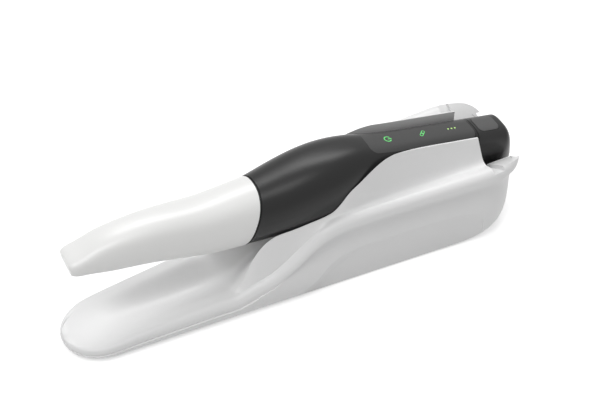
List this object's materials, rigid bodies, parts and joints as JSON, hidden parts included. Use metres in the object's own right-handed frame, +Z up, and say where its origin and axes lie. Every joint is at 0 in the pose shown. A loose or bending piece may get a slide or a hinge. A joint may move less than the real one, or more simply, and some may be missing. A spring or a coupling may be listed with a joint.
{
  "type": "intraoral scanner in desktop cradle",
  "caption": "Cordless handheld dental 3-D camera with a pull-off white tip sleeve, dark handle and tail battery, lying in a white desktop cradle.",
  "frame": {"origin": "middle of the resting plane, halfway between the cradle nose and the tail cap", "axes": "+X from the nose to the tail, +Y to the side, +Z up"},
  "size_m": [0.257, 0.0632, 0.0717],
  "materials": {
    "shell_white": "smooth satin, very fine grain",
    "sleeve_white": "smooth semi-gloss",
    "housing_dark": "satin dark grey",
    "strip_dark": "smooth satin grey",
    "cap_dark": "satin dark grey",
    "button_dark": "satin grey",
    "seal_black": "matt",
    "feet_rubber": "matt",
    "symbol_light": "lit light guide",
    "dot_light": "lit light guide",
    "lamp_white": "lamp",
    "window_glass": "clear",
    "lens_glass": "coated",
    "prism_glass": "clear",
    "tip_silver": "polished",
    "barrel_metal": "dark anodised",
    "frame_metal": "milled",
    "module_black": "matt",
    "board_green": "solder mask",
    "chip_black": "matt",
    "can_steel": "tinned",
    "screw_steel": "plated",
    "contact_gold": "plated",
    "cell_wrap": "shrink film",
    "spring_steel": "drawn"
  },
  "bodies": {
    "root": {"cradle_top": "shell_white", "cradle_base": "shell_white", "cradle_feet": "feet_rubber", "cradle_screws": "screw_steel", "collar_ring": "seal_black", "body_shell": "housing_dark", "control_panel": "strip_dark", "power_light": "symbol_light", "link_light": "symbol_light", "battery_lights": "dot_light", "bay_contacts": "contact_gold", "optics_barrel": "barrel_metal", "objective_lens": "lens_glass", "beam_splitter": "prism_glass", "camera_module": "module_black", "projector_module": "module_black", "chassis": "frame_metal", "main_board": "board_green", "processor": "chip_black", "radio_module": "can_steel", "chassis_screws": "screw_steel", "control_board": "board_green", "panel_leds": "lamp_white"},
    "sleeve_body": {"sleeve": "sleeve_white", "sleeve_window": "window_glass", "tip_mirror": "tip_silver"},
    "battery_body": {"battery_case": "cap_dark", "battery_cells": "cell_wrap", "battery_contacts": "contact_gold", "release_spring": "spring_steel"},
    "button_body": {"release_button": "button_dark"}
  },
  "joints": [
    {"name": "sleeve_slide", "type": "slide", "parent": "root", "child": "sleeve_body", "axis": [-0.9971, 0, 0.0764], "range_m": [0, 0.095]},
    {"name": "battery_slide", "type": "slide", "parent": "root", "child": "battery_body", "axis": [0.977, 0, -0.213], "range_m": [0, 0.058]},
    {"name": "release_button_press", "type": "slide", "parent": "battery_body", "child": "button_body", "axis": [-0.213, 0, -0.977], "range_m": [0, 0.001], "stiffness_N_per_m": 800, "springref_m": -0.001, "deforming": ["release_spring"]}
  ]
}
